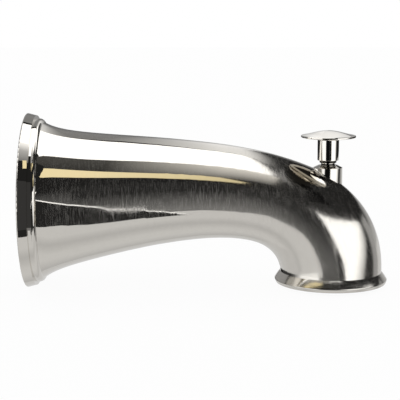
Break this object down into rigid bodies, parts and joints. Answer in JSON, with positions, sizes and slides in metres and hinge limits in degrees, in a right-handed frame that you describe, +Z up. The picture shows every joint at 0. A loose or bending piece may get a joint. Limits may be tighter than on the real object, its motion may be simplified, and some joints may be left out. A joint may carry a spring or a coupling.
{
  "type": "bath spout",
  "caption": "Wall-mounted bath spout: a flared bell that narrows and bends down to a round ringed outlet, with a pull-up knob whose gate shuts the outlet so that water goes to a shower.",
  "frame": {"origin": "centre of the rim's back face, where the supply pipe's axis meets the finished wall", "axes": "+X out from the wall along the supply pipe, +Z up, so that the outlet points to -Z"},
  "size_m": [0.1574, 0.0758, 0.0758],
  "materials": {
    "brushed_nickel": "brushed",
    "polished_nickel": "polished",
    "brass": "machined",
    "black_plastic": "moulded",
    "white_acetal": "moulded",
    "black_rubber": "moulded",
    "screw_steel": "zinc plated"
  },
  "bodies": {
    "spout": {"spout_body": "brushed_nickel", "waterway_tube": "black_plastic", "tube_screws": "screw_steel", "inlet_bush": "brass", "inlet_washer": "black_rubber", "diverter_seat": "black_plastic", "seat_seal": "black_rubber", "stem_seal": "black_rubber", "stem_gland": "white_acetal"},
    "diverter": {"lift_knob": "polished_nickel", "lift_stem": "polished_nickel", "diverter_gate": "white_acetal", "gate_seal": "black_rubber"}
  },
  "joints": [
    {"name": "diverter_lift", "type": "slide", "parent": "spout", "child": "diverter", "axis": [0, 0, 1], "range_m": [0, 0.0127]}
  ]
}
